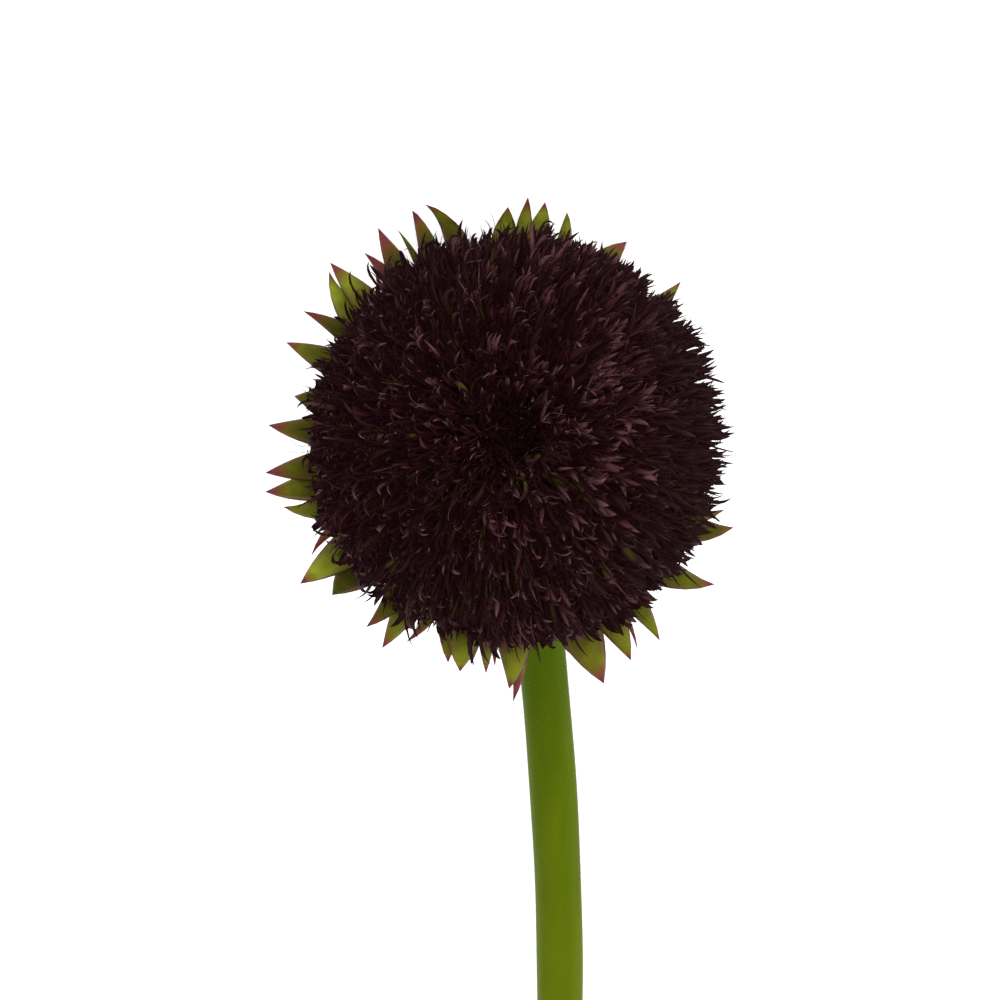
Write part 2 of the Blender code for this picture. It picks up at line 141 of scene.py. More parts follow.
RIM_LONG, RIM_SHORT = math.radians(45), math.radians(200)  # turns of its longest and of shorter florets
RIM_LOW = math.radians(262)  # the turn at which they end above the bracts
LONGER, SHORTER = 0.055, 0.052  # by what share of their distance from the head's centre
SHORTER_LOW, SHORTER_RIGHT, SHORTER_TOP = 0.045, 0.025, 0.038
UNEVEN, UNEVEN_WAVE = 0.022, 6.5 * MM  # how unevenly far the florets inside the rim reach
LEAN_FIRST, LEAN_LAST = math.radians(6), math.radians(36)  # angles at which the lean starts and is full
SWEEP_LOSS, SWEEP_LOSS_LEFT = 0.35, 0.40  # how much less the rim is swept
DRIFT, DRIFT_WAVE = 0.48, 6.5 * MM  # how far neighbours turn together
TANGLE, TANGLE_LEAN, TANGLE_EDGE, TANGLE_LOW = 0.50, 0.26, 0.08, 0.36  # how far single ones stray
ANGLE_STRAY, TURN_STRAY = 0.02, 0.05
CROWDED = math.radians(35)  # the crowding fades over this angle
OUTER_FLORETS = (1250, math.radians(56), math.radians(92), 0.0)  # how many, first and last angle, crowding
INNER_FLORETS = (1050, math.radians(10), math.radians(57), 0.3)
LOW_FLORETS = (2800, math.radians(11), math.radians(93), 0.3)
THREADS = (220, 0.15, math.radians(88), 0.5)

# Petals
ROOT_ANGLE = 0.93  # a petal's root stands at this share of its floret's angle
ROOT_PULL, MOUTH_PULL = 0.4, 0.15  # how straight it leaves the bed and its floret
PETAL_SWELL = 0.1  # it widens from this share of its length
PETAL_BASE, PETAL_POINT = 0.45, 1.35  # share of the half width at its root, power of the narrowing
PETAL_THICK, PETAL_LEAST = 0.25, 0.03 * MM  # share of the half width, and what is added
PETAL_SIZE, PETAL_FOLD = (0.75, 1.3), (0.1, 0.7)  # least and greatest, in half widths
WIDER_LOW, NARROWER_RIGHT = 0.9, 0.45  # at the rim

# Buds in the middle, with lengths in mm and angles in radians
BUDS, BUD_STATIONS, BUD_SIDES = 230, 7, 5
BUD_PATCH, BUD_FOOT = 7.2, 24.0  # radius of the patch that they fill, and height of their roots
BUD_HEIGHT, BUD_TALLER, BUD_UNEVEN = 6.4, 2.4, (0.88, 1.08)  # in the middle, more at the edge, spread
BUD_TILT, BUD_TILT_IN, BUD_TILT_STRAY = 0.30, 0.12, 0.10
BUD_BEND = (0.10, 0.15)  # middle and spread
BUD_RADIUS = (0.30, 0.42)
BUD_OWN, BUD_TIP_FROM, BUD_TIP = 0.75, 0.9, 0.25

# Colours of the florets: their own number runs from 0, dark, to 1, light
PAINTED_GLOW = (0.0050, 0.0012, 0.0016)  # painted glow: light that the petals give off, in place of light that comes through the thin petals
# strength of the buds' painted glow
BUD_PAINTED_GLOW = 0.6
OLIVE, OLIVE_LOW = 0.35, 1.15  # how green all are, and how much more at the lower side
OLIVE_PATCHY, OLIVE_MOST = 0.8, 2.2
OLIVE_WAVE = 13 * MM
BRIGHT_FROM, BRIGHT_GREEN = 0.96, (0.7, 1.0)  # the few above the first number are bright green
DARK, PAINTED_LIGHT_LEAN, PAINTED_SHADE_TOP, PAINTED_LIGHT_PULL = 1.84, 1.04, 0.50, 0.90  # powers: the higher, the more are dark; painted light makes the right side and the upper right lighter, painted shade makes the top darker
SHADE, SHADE_EVEN, SHADE_LEAN = 0.32, 0.74, 0.26  # how far groups differ
SHADE_WAVE, SHADE_FINE_WAVE, SHADE_FINE = 7 * MM, 2.6 * MM, 0.8
BROWN_FIRST, BROWN_LAST = math.radians(38), math.radians(54)  # angles between which the right turns brown
BROWN_SLOPE, BROWN_START, BROWN_SHARE = 1.6, 0.6, (0.6, 1)  # how it sets in towards the right
BROWN_OWN, BROWN_PULL = 0.45, 0.85  # own number there, and how near to it they come
LOBE_STRAY = 0.07  # how far the petals of one floret differ
LIGHT_TIP_FROM, LIGHT_TIP_LEAN, LIGHT_TIP_SHARE = 0.895, 0.015, (0.3, 1)  # a few have a light tip, partly their own dusty pink and partly painted highlight
BROWNED, LIGHT_TIP = (0.0165, 0.0066, 0.0068), (0.145, 0.074, 0.079)
BED_COLOURS = (0.020, 0.005, 0.005), (0.028, 0.009, 0.007)

# Colours of the bracts and the down
MARGIN_RED = (0.125, 0.030, 0.026)
VEINS = 26.0  # radians of their wave from a bract's middle to its edge
DOWN_COLOUR = (0.30, 0.37, 0.16)

# Grain of the surfaces, in waves per metre
FINE_GRAIN, BRACT_GRAIN, STEM_PATCHES, STEM_LINES = 500, 350, 60, 700

# Light
FLOOR_SIZE, FLOOR_GREY, FLOOR_GLOW = 8.0, 0.70, 0.75
WORLD_LIGHT = 1.10
SOFTBOX_SIZE, SOFTBOX_POWER, SOFTBOX_DISTANCE = 0.7, 4.0, 1.0  # in metres and watts
SOFTBOX_WAY = (0.75, 0.62, 0.85)  # from the head

# Maths


def head_to_part(points):
    """Points (..., 3) of the head frame in the part's frame."""
    return HEAD_CENTRE + points[..., :1] * U_AXIS + points[..., 1:2] * V_AXIS + points[..., 2:3] * A_AXIS


def unit(vectors):
    return vectors / np.linalg.norm(vectors, axis=-1, keepdims=True)


def smooth_step(low, high, value):
    t = np.clip((value - low) / (high - low), 0, 1)
    return t * t * (3 - 2 * t)


def around(radius, turn, a):
    radius, turn, a = np.broadcast_arrays(radius, turn, a)
    return np.stack((radius * np.cos(turn), radius * np.sin(turn), a), axis=-1)


def ripples(points, wavelength, seed):
    """A smooth field over the points, mostly between -2 and 2, from waves that run in random ways."""
    draw = np.random.default_rng(seed)
    ways = unit(draw.normal(0, 1, (RIPPLE_WAVES, 3)))
    starts = draw.uniform(0, 2 * math.pi, RIPPLE_WAVES)
    return np.sin(points @ ways.T * (2 * math.pi / wavelength) + starts).sum(axis=1) / 2


# Meshes


def add_object(name, points, faces, values, material, slot, *nodes):
    """A smooth mesh that rides on the flower. values maps a name to one number for each point."""
    mesh = bpy.data.meshes.new(name)
    mesh.from_pydata(points.tolist(), [], faces)
    for key, numbers in values.items():
        mesh.attributes.new(key, "FLOAT", "POINT").data.foreach_set("value", numbers.astype(np.float32))
    mesh.shade_smooth()
    mesh.materials.append(material)
    obj = bpy.data.objects.new(name, mesh)
    bpy.context.scene.collection.objects.link(obj)
    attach(obj, "root")
    if nodes:
        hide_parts(*nodes)


def frames_along(centres, side, twist=0.0):
    """The ways across and up of each station of many curves. side is the way across before the twist."""
    ahead = unit(np.gradient(centres, axis=1))
    across = unit(side - np.sum(side * ahead, axis=-1, keepdims=True) * ahead)
    lift = np.cross(ahead, across)
    cos, sin = np.cos(twist), np.sin(twist)
    return across * cos + lift * sin, lift * cos - across * sin


def blades(centres, across, lift, half, thick, fold, columns):
    """Many closed blades that end in a point, with each point's share of the way along and across.

    centres, across and lift are (blades, stations, 3); half, thick and fold are (blades, stations).
    The upper side has this many columns of points, and its edges rise by fold.
    """
    count, stations = half.shape
    share = np.linspace(-1, 1, columns)
    section = np.concatenate((share, share[-2:0:-1]))
    depth = np.concatenate((np.zeros(columns), np.sqrt(1 - share[-2:0:-1] ** 2)))
    size = len(section)
    rings = stations - 1
    spread = half[:, :rings, None, None] * section[None, None, :, None]
    rise = fold[:, :rings, None, None] * (section**2)[None, None, :, None]
    sink = thick[:, :rings, None, None] * depth[None, None, :, None]
    ring_points = centres[:, :rings, None] + across[:, :rings, None] * spread
    ring_points = ring_points + lift[:, :rings, None] * (rise - sink)
    points = np.concatenate((ring_points.reshape(count, rings * size, 3), centres[:, -1:]), axis=1)
    along = np.append(np.repeat(np.linspace(0, 1, stations)[:-1], size), 1.0)
    cross = np.append(np.tile(section, rings), 0.0)
    quads = []
    for ring in range(rings - 1):
        for k in range(size):
            here, beside = ring * size + k, ring * size + (k + 1) % size
            quads.append((here, here + size, beside + size, beside))
    last = (rings - 1) * size
    tips = [(last + k, rings * size, last + (k + 1) % size) for k in range(size)]
    per_blade = rings * size + 1
    faces = []
    for kind in (quads, tips, [tuple(range(size))]):
        moved = np.array(kind)[None] + (np.arange(count) * per_blade)[:, None, None]
        faces += moved.reshape(-1, moved.shape[-1]).tolist()
    values = {"along": np.tile(along, count), "cross": np.tile(cross, count)}
    return points.reshape(-1, 3), faces, values, per_blade


def tubes(centres, side, radius, sides):
    """Many closed round strands that end in a point, and the share of the way along."""
    count, stations = radius.shape
    across, lift = frames_along(centres, side)
    turns = 2 * math.pi * np.arange(sides) / sides
    rings = stations - 1
    around_ring = (
        across[:, :rings, None] * np.cos(turns)[None, None, :, None]
        + lift[:, :rings, None] * np.sin(turns)[None, None, :, None]
    )
    ring_points = centres[:, :rings, None] + around_ring * radius[:, :rings, None, None]
    points = np.concatenate((ring_points.reshape(count, rings * sides, 3), centres[:, -1:]), axis=1)
    along = np.append(np.repeat(np.linspace(0, 1, stations)[:-1], sides), 1.0)
    quads = []
    for ring in range(rings - 1):
        for k in range(sides):
            here, beside = ring * sides + k, ring * sides + (k + 1) % sides
            quads.append((here, beside, beside + sides, here + sides))
    last = (rings - 1) * sides
    tips = [(last + k, last + (k + 1) % sides, rings * sides) for k in range(sides)]
    per_strand = rings * sides + 1
    faces = []
    for kind in (quads, tips, [tuple(reversed(range(sides)))]):
        moved = np.array(kind)[None] + (np.arange(count) * per_strand)[:, None, None]
        faces += moved.reshape(-1, moved.shape[-1]).tolist()
    return points.reshape(-1, 3), faces, {"along": np.tile(along, count)}, per_strand


# Materials


def shader_of(name, roughness, specular, sheen=0.0, sheen_tint=(1, 1, 1), sheen_roughness=0.5):
    """A new material, its nodes, links and Principled shader."""
    made = bpy.data.materials.new(name)
    made.use_nodes = True
    nodes, links = made.node_tree.nodes, made.node_tree.links
    shader = nodes["Principled BSDF"]
    shader.inputs["Roughness"].default_value = roughness
    shader.inputs["Specular IOR Level"].default_value = specular
    shader.inputs["Sheen Weight"].default_value = sheen
    shader.inputs["Sheen Tint"].default_value = (*sheen_tint, 1)
    shader.inputs["Sheen Roughness"].default_value = sheen_roughness
    return made, nodes, links, shader


def value_of(nodes, name):
    node = nodes.new("ShaderNodeAttribute")
    node.attribute_name = name
    return node.outputs["Fac"]


def ramp_of(nodes, links, fac, stops):
    """A colour ramp over fac. stops are (position, colour)."""
    node = nodes.new("ShaderNodeValToRGB")
    elements = node.color_ramp.elements
    elements[0].position, elements[0].color = stops[0][0], (*stops[0][1], 1)
    elements[1].position, elements[1].color = stops[-1][0], (*stops[-1][1], 1)
    for position, colour in stops[1:-1]:
        elements.new(position).color = (*colour, 1)
    links.new(fac, node.inputs["Fac"])
    return node.outputs["Color"]


def maths_of(nodes, links, operation, first, second):
    node = nodes.new("ShaderNodeMath")
    node.operation = operation
    for socket, given in zip(node.inputs, (first, second)):
        if isinstance(given, (int, float)):
            socket.default_value = given
        else:
            links.new(given, socket)
    return node.outputs[0]


def mixed(nodes, links, fac, first, second, blend="MIX"):
    node = nodes.new("ShaderNodeMix")
    node.data_type = "RGBA"
    node.blend_type = blend
    for socket, given in zip((node.inputs[0], node.inputs[6], node.inputs[7]), (fac, first, second)):
        if isinstance(given, (int, float)):
            socket.default_value = given
        elif isinstance(given, tuple):
            socket.default_value = (*given, 1)
        else:
            links.new(given, socket)
    return node.outputs[2]


def noise_of(nodes, links, scale, detail=3.0, stretch=None):
    """Noise over the object's own coordinates. scale is in waves per metre."""
    place = nodes.new("ShaderNodeTexCoord").outputs["Object"]
    if stretch:
        mapping = nodes.new("ShaderNodeMapping")
        mapping.inputs["Scale"].default_value = stretch
        links.new(place, mapping.inputs["Vector"])
        place = mapping.outputs["Vector"]
    node = nodes.new("ShaderNodeTexNoise")
    node.inputs["Scale"].default_value = scale
    node.inputs["Detail"].default_value = detail
    links.new(place, node.inputs["Vector"])
    return node.outputs["Fac"]


def bump_of(nodes, links, shader, height, strength, distance):
    node = nodes.new("ShaderNodeBump")
    node.inputs["Strength"].default_value = strength
    node.inputs["Distance"].default_value = distance
    links.new(height, node.inputs["Height"])
    links.new(node.outputs["Normal"], shader.inputs["Normal"])


def floret_material(name, painted_glow=1.0):
    """Wine red or green low down. Above, from near black to dusty pink by the petal's own number, the
    lightest partly painted highlight. The petals have a painted glow.
    """
    made, nodes, links, shader = shader_of(name, 0.6, 0.04)
    # painted glow: the petals give off a little light of their own
    shader.inputs["Emission Color"].default_value = (*PAINTED_GLOW, 1)
    shader.inputs["Emission Strength"].default_value = painted_glow
    along, own, green, cross, brown, tip = (
        value_of(nodes, key) for key in ("along", "own", "green", "cross", "brown", "tip")
    )
    base = ramp_of(nodes, links, green, (
        (0.0, (0.028, 0.0046, 0.0068)), (0.35, (0.022, 0.0105, 0.0040)), (0.75, (0.030, 0.026, 0.0040)),
        (1.0, (0.070, 0.070, 0.0085)),
    ))
    # the light end is partly the petals' dusty pink and partly painted highlight
    upper = ramp_of(nodes, links, own, (
        (0.0, (0.0100, 0.0020, 0.0034)), (0.5, (0.0140, 0.0032, 0.0048)), (0.75, (0.027, 0.0068, 0.0090)),
        (0.9, (0.050, 0.0160, 0.0190)), (1.0, (0.100, 0.040, 0.045)),
    ))
    upper = mixed(nodes, links, brown, upper, BROWNED)
    high = ramp_of(nodes, links, along, ((0.30, (0, 0, 0)), (0.60, (1, 1, 1))))
    colour = mixed(nodes, links, high, base, upper)
    # painted sheen along the middle of each petal, painted shade at its edges
    middle = maths_of(nodes, links, "ABSOLUTE", cross, 0.0)
    shade = ramp_of(nodes, links, middle, ((0.1, (1.08, 1.08, 1.08)), (1.0, (0.84, 0.81, 0.82))))
    colour = mixed(nodes, links, 1.0, colour, shade, "MULTIPLY")
    tone = noise_of(nodes, links, FINE_GRAIN)
    blotches = ramp_of(nodes, links, tone, ((0.3, (0.84, 0.82, 0.82)), (0.75, (1.16, 1.15, 1.15))))
    colour = mixed(nodes, links, 1.0, colour, blotches, "MULTIPLY")
    # light tips: partly dusty pink, partly painted highlight
    end = ramp_of(nodes, links, along, ((0.62, (0, 0, 0)), (0.85, (1, 1, 1))))
    colour = mixed(nodes, links, maths_of(nodes, links, "MULTIPLY", end, tip), colour, LIGHT_TIP)
    links.new(colour, shader.inputs["Base Color"])
    return made


def thread_material():
    """Fine hairs, from dark brown to pale grey by their own number."""
    made, nodes, links, shader = shader_of("thread", 0.5, 0.1)
    colour = ramp_of(nodes, links, value_of(nodes, "own"), (
        (0.0, (0.020, 0.008, 0.007)), (0.6, (0.045, 0.024, 0.020)), (1.0, (0.16, 0.12, 0.11)),
    ))
    links.new(colour, shader.inputs["Base Color"])
    return made


def plain_material(name, colour, roughness, specular, spots=None):
    """One colour with soft blotches of a second one."""
    made, nodes, links, shader = shader_of(name, roughness, specular)
    tone = noise_of(nodes, links, FINE_GRAIN)
    links.new(mixed(nodes, links, tone, colour, spots or colour), shader.inputs["Base Color"])
    return made


def bract_material():
    """Olive to yellow-green, darker low down, partly painted shade of the florets over them. Red comes down
    from the tip and along the margins.
    """
    made, nodes, links, shader = shader_of("bract", 0.45, 0.06)
    along, cross, red, light = (value_of(nodes, key) for key in ("along", "cross", "red", "light"))
    body = ramp_of(nodes, links, light, (
        (0.0, (0.036, 0.032, 0.0020)), (0.5, (0.140, 0.148, 0.0060)), (1.0, (0.290, 0.345, 0.0240)),
    ))
    # darker low down: partly the bracts' own darker base, partly painted shade where the florets cover them
    low = ramp_of(nodes, links, along, ((0.70, (0.52, 0.46, 0.50)), (0.88, (1, 1, 1))))
    body = mixed(nodes, links, 1.0, body, low, "MULTIPLY")
    tone = noise_of(nodes, links, BRACT_GRAIN)
    blotches = ramp_of(nodes, links, tone, ((0.3, (0.78, 0.76, 0.7)), (0.75, (1.2, 1.2, 1.1))))
    body = mixed(nodes, links, 1.0, body, blotches, "MULTIPLY")
    margin = maths_of(nodes, links, "POWER", maths_of(nodes, links, "ABSOLUTE", cross, 0.0), 4.0)
    body = mixed(nodes, links, maths_of(nodes, links, "MULTIPLY", margin, 0.8), body, MARGIN_RED)
    reach = maths_of(nodes, links, "MULTIPLY", red, 0.30)
    start = maths_of(nodes, links, "SUBTRACT", 1.0, reach)
    above = maths_of(nodes, links, "SUBTRACT", along, start)
    swing = maths_of(nodes, links, "SUBTRACT", noise_of(nodes, links, FINE_GRAIN), 0.5)
    wavy = maths_of(nodes, links, "MULTIPLY", swing, 0.08)
    above = maths_of(nodes, links, "ADD", above, wavy)
    share = maths_of(nodes, links, "DIVIDE", above, maths_of(nodes, links, "ADD", reach, 0.01))
    strength = ramp_of(nodes, links, share, ((0.0, (0, 0, 0)), (0.55, (1, 1, 1))))
    tip = ramp_of(nodes, links, share, (
        (0.3, (0.165, 0.046, 0.014)), (0.7, (0.170, 0.036, 0.046)), (0.9, (0.090, 0.019, 0.028)),
        (1.0, (0.020, 0.007, 0.010)),
    ))
    links.new(mixed(nodes, links, strength, body, tip), shader.inputs["Base Color"])
    lines = maths_of(nodes, links, "SINE", maths_of(nodes, links, "MULTIPLY", cross, VEINS), 0.0)
    bump_of(nodes, links, shader, lines, 0.35, 0.12 * MM)
    return made


def stem_material():
    """Green with fine lines along it, paler at the cut, and a soft down that shows at its edges."""
    made, nodes, links, shader = shader_of("stem", 0.5, 0.015, 0.26, (0.90, 0.96, 0.84), 0.18)
    # darker towards the head: partly the stem's own darker green, partly painted shade of the head at the
    # neck
    high = ramp_of(nodes, links, value_of(nodes, "along"), (
        (0.0, (0.100, 0.138, 0.0016)), (0.40, (0.092, 0.130, 0.0016)), (0.50, (0.082, 0.118, 0.0014)),
        (0.62, (0.060, 0.095, 0.0012)), (0.78, (0.050, 0.086, 0.0014)), (1.0, (0.040, 0.070, 0.0020)),
    ))
    tone = noise_of(nodes, links, STEM_PATCHES, 6.0, (3, 0.6, 3))
    patches = ramp_of(nodes, links, tone, ((0.3, (0.86, 0.88, 0.84)), (0.7, (1.12, 1.09, 1.1))))
    skin = mixed(nodes, links, 1.0, high, patches, "MULTIPLY")
    pith = ramp_of(nodes, links, value_of(nodes, "depth"), (
        (0.0, (0.45, 0.50, 0.26)), (0.7, (0.36, 0.44, 0.16)), (1.0, (0.10, 0.16, 0.02)),
    ))
    links.new(mixed(nodes, links, value_of(nodes, "cut"), skin, pith), shader.inputs["Base Color"])
    lines = noise_of(nodes, links, STEM_LINES, 4.0, (2, 0.25, 2))
    bump_of(nodes, links, shader, lines, 0.25, 0.15 * MM)
    return made


# Florets


def on_dome(share, angle, turn):
    """Points at this share of the way from the core's skin to the dome's."""
    radius = CORE_RADIUS + (DOME_RADIUS - CORE_RADIUS) * share
    height = CORE_HEIGHT + (DOME_HEIGHT - CORE_HEIGHT) * share
    points = around(radius * np.sin(angle), turn, DOME_CENTRE + height * np.cos(angle))
    far = share * (1 - np.cos(angle))
    points[..., 0] += DOME_ASIDE[0] * far
    points[..., 1] += DOME_ASIDE[1] * far
    return points


def spread_angles(count, first, last, crowding):
    """Angles from the axis that fill the dome evenly, or closer near the middle if crowding is above 0."""
    grid = np.linspace(first, last, 400)
    weight = np.sin(grid) * (1 + crowding * np.exp(-((grid / CROWDED) ** 2)))
    total = np.cumsum(weight)
    return np.interp((np.arange(count) + 0.5) / count * total[-1], total, grid)


@dataclass
class PetalKind:
    """The shape of one kind of petal. Lengths are in mm and turns in radians."""

    lobes: int  # how many of them a floret has
    half_width: tuple  # where the florets stand up, and where they lie over
    reach: tuple  # least and greatest share of the way up to the dome
    open_length: tuple  # least and greatest length of its free part
    splay: tuple  # middle and spread of its angle to its floret
    facing: float  # 0 shows its flat side outwards, higher values let it face any way
    twist: float  # spread of its turn about its own length
    widest: float  # share of its length
    columns: int


PETAL_STATIONS = (0.0, 0.34, 0.48, 0.60, 0.71, 0.81, 0.89, 0.95, 1.0)  # shares of a petal's curve
TONGUE = PetalKind(2, (0.42, 0.74), (0.88, 1.03), (3.0, 6.2), (0.45, 0.34), 0.7, 0.7, 0.50, 3)
SIDE_LOBE = PetalKind(1, (0.13, 0.20), (0.88, 1.02), (2.4, 5.2), (0.80, 0.40), 1.6, 1.3, 0.45, 3)
LOW_PETAL = PetalKind(1, (0.46, 0.66), (0.74, 0.95), (2.8, 5.2), (0.40, 0.32), 0.9, 0.8, 0.50, 3)


def square_to(vectors, ways):
    """The unit part of each vector that is square to its way."""
    return unit(vectors - np.sum(vectors * ways, axis=-1, keepdims=True) * ways)


class Florets:
    """Places of the florets on the dome, where each one ends and the way it points."""

    def __init__(self, count, first, last, crowding, seed):
        self.count = count
        self.draw = draw = np.random.default_rng(seed)
        strayed = spread_angles(count, first, last, crowding) + draw.normal(0, ANGLE_STRAY, count)
        self.angle = np.clip(strayed, first, last)
        self.turn = np.arange(count) * GOLDEN_ANGLE + draw.normal(0, TURN_STRAY, count)
        self.out = around(np.sin(self.angle), self.turn, np.cos(self.angle))
        spots = on_dome(np.ones(count), self.angle, self.turn)
        hollow = 1 - HOLLOW * np.exp(-((self.angle / HOLLOW_SPREAD) ** 2))
        self.edge = smooth_step(RIM_FIRST, RIM_LAST, self.angle)
        longer = LONGER * np.maximum(np.cos(self.turn - RIM_LONG), 0)
        low = np.maximum(np.cos(self.turn - RIM_LOW), 0) ** 4
        right, left = np.maximum(np.cos(self.turn), 0) ** 2, np.maximum(-np.cos(self.turn), 0)
        below, top = np.maximum(-np.sin(self.turn), 0), np.maximum(np.sin(self.turn), 0) ** 6
        shorter = (
            SHORTER * np.maximum(np.cos(self.turn - RIM_SHORT), 0)
            + SHORTER_LOW * low
            + SHORTER_RIGHT * right
            + SHORTER_TOP * top
        )
        uneven = UNEVEN * ripples(spots, UNEVEN_WAVE, SEED + 60) * (1 - self.edge)
        self.ends = spots * (hollow * (1 + (longer - shorter) * self.edge + uneven))[:, None]
        off_centre = smooth_step(LEAN_FIRST, LEAN_LAST, self.angle)
        self.lean = np.cos(self.turn - math.atan2(SWEEP[1], SWEEP[0])) * off_centre  # 1 where they lie over
        fine_shade = SHADE_FINE * ripples(spots, SHADE_FINE_WAVE, SEED + 80)
        self.shade = ripples(spots, SHADE_WAVE, SEED + 50) + fine_shade
        self.patch = ripples(spots, OLIVE_WAVE, SEED + 70)
        drift = np.stack([ripples(spots, DRIFT_WAVE, SEED + 40 + k) for k in range(3)], axis=1)
        tangle = (
            TANGLE
            - TANGLE_LEAN * self.lean
            + TANGLE_EDGE * self.edge * (1 - right)
            + TANGLE_LOW * below * off_centre
        )
        stray = draw.normal(0, 1, (count, 3)) * tangle[:, None]
        swept = off_centre * (1 - (SWEEP_LOSS + SWEEP_LOSS_LEFT * left) * self.edge)
        brushed = SWEEP * swept[:, None] + BRUSH * (right * self.edge)[:, None]
        brushed += BRUSH_LOW * (below * off_centre)[:, None]
        self.way = unit(self.out + brushed + DRIFT * drift + stray)

    def curves(self, kind):
        """The middle lines of every petal of this kind, the ways across them, and each one's floret.

        Each runs up from the bed beside its floret's others and then parts from them.
        """
        draw = self.draw
        floret = np.repeat(np.arange(self.count), kind.lobes)
        count = len(floret)
        out, way = self.out[floret], self.way[floret]
        splay = draw.normal(*kind.splay, count)[:, None]
        fan = square_to(draw.normal(0, 1, (count, 3)), way)
        end_way = way * np.cos(splay) + fan * np.sin(splay)
        reach = draw.uniform(*kind.reach, self.count)[floret][:, None]
        root = on_dome(np.zeros(count), self.angle[floret] * ROOT_ANGLE, self.turn[floret])
        nominal = root + (self.ends[floret] - root) * reach
        free = (draw.uniform(*kind.open_length, count) * MM)[:, None]
        mouth = nominal - way * free
        tip = mouth + end_way * free
        rise = np.linalg.norm(mouth - root, axis=1, keepdims=True)
        middle, straight = root + out * rise * ROOT_PULL, mouth + way * free * MOUTH_PULL
        t = np.array(PETAL_STATIONS)[None, :, None]
        path = (
            root[:, None] * (1 - t) ** 3
            + middle[:, None] * 3 * t * (1 - t) ** 2
            + straight[:, None] * 3 * t**2 * (1 - t)
            + tip[:, None] * t**3
        )
        face = square_to(out + draw.normal(0, 1, (count, 3)) * kind.facing, end_way)
        return path, np.cross(face, end_way)[:, None], floret


def kept_above_bracts(points):
    """Points of the head frame, none of them lower than the bracts' upper side."""
    points[..., 2] = np.maximum(points[..., 2], FLORET_BOTTOM)
    return points


def petal_outline(stations, swell, widest, base):
    """Half width along a petal: base up to swell, 1 at the widest place, 0 at the tip."""
    t = np.linspace(0, 1, stations)
    past = np.clip((t - widest) / (1 - widest), 0, 1)
    return (base + (1 - base) * smooth_step(swell, widest, t)) * (1 - past**PETAL_POINT)


def petal_numbers(florets, floret, per):
    """The values own, green, brown and tip of every point of the petals of these florets."""
    draw, count = florets.draw, florets.count
    turn, angle, lean = florets.turn, florets.angle, florets.lean
    low_side = np.maximum(np.cos(turn - OLIVE_SIDE), 0)
    patches = np.clip(1 + OLIVE_PATCHY * florets.patch, 0, OLIVE_MOST)
    green = draw.uniform(0, 1, count) ** 3 * (OLIVE + OLIVE_LOW * low_side) * patches
    bright = draw.uniform(0, 1, count) > BRIGHT_FROM
    green = np.clip(np.where(bright, draw.uniform(*BRIGHT_GREEN, count), green), 0, 1)
    # painted light and shade: lighter towards the upper right and on the right where they lie over, darker
    # at the top
    painted_light = PAINTED_LIGHT_PULL * np.maximum(np.cos(turn - PAINTED_LIGHT_TURN), 0) ** 4
    painted_light_and_shade = PAINTED_SHADE_TOP * np.maximum(np.sin(turn), 0) ** 2 - painted_light
    own = draw.uniform(0, 1, count) ** (DARK - PAINTED_LIGHT_LEAN * lean + painted_light_and_shade)
    own += SHADE * (SHADE_EVEN + SHADE_LEAN * lean) * florets.shade
    right_side = np.clip(BROWN_SLOPE * np.cos(turn) - BROWN_START, 0, 1)
    brown = smooth_step(BROWN_FIRST, BROWN_LAST, angle) * right_side * draw.uniform(*BROWN_SHARE, count)
    own += (BROWN_OWN - own) * BROWN_PULL * brown
    own = np.clip(own[floret] + draw.normal(0, LOBE_STRAY, len(floret)), 0, 1)
    light_tip = draw.uniform(0, 1, len(floret)) > LIGHT_TIP_FROM + LIGHT_TIP_LEAN * lean[floret]
    tip = draw.uniform(*LIGHT_TIP_SHARE, len(floret)) * light_tip * (1 - brown[floret])
    numbers = {"own": own, "green": green[floret], "brown": brown[floret], "tip": tip}
    return {key: np.repeat(value, per) for key, value in numbers.items()}


def petals(name, florets, kind, material, *nodes):
    """The petals of this kind of every floret."""
    draw = florets.draw
    centres, side, floret = florets.curves(kind)
    count, stations = centres.shape[:2]
    t = np.linspace(0, 1, stations)
    turned_by = draw.normal(0, kind.twist, count)
    twist = (turned_by[:, None] * t**2)[..., None]
    across, lift = frames_along(centres, side, twist)
    lying = np.maximum(florets.lean, 0)
    width = kind.half_width[0] + (kind.half_width[1] - kind.half_width[0]) * lying
    low_rim, right_rim = np.maximum(-np.sin(florets.turn), 0), np.maximum(np.cos(florets.turn), 0)
    width *= 1 + florets.edge * (WIDER_LOW * low_rim - NARROWER_RIGHT * right_rim)
    half = (width[floret] * MM * draw.uniform(*PETAL_SIZE, count))[:, None]
    half = half * petal_outline(stations, PETAL_SWELL, kind.widest, PETAL_BASE)[None]
    fold = half * draw.uniform(*PETAL_FOLD, count)[:, None]
    thick = half * PETAL_THICK + PETAL_LEAST
    points, faces, values, per = blades(centres, across, lift, half, thick, fold, kind.columns)
    values.update(petal_numbers(florets, floret, per))
    points = head_to_part(kept_above_bracts(points))
    add_object(name, points, faces, values, material, "burgundy", *nodes)


THREAD = PetalKind(1, (0.05, 0.05), (0.88, 1.00), (3.0, 6.0), (0.9, 0.4), 1.0, 0.0, 0.5, 3)


def bristles(material):
    """A few pale hairs between the florets."""
    florets = Florets(*THREADS, SEED + 6)
    centres, side, _ = florets.curves(THREAD)
    radius = np.full(centres.shape[:2], THREAD.half_width[0] * MM)
    points, faces, values, per = tubes(centres, side, radius, 3)
    values["own"] = np.repeat(florets.draw.uniform(0, 1, florets.count), per)
    points = head_to_part(kept_above_bracts(points))
    add_object("bristles", points, faces, values, material, "burgundy")


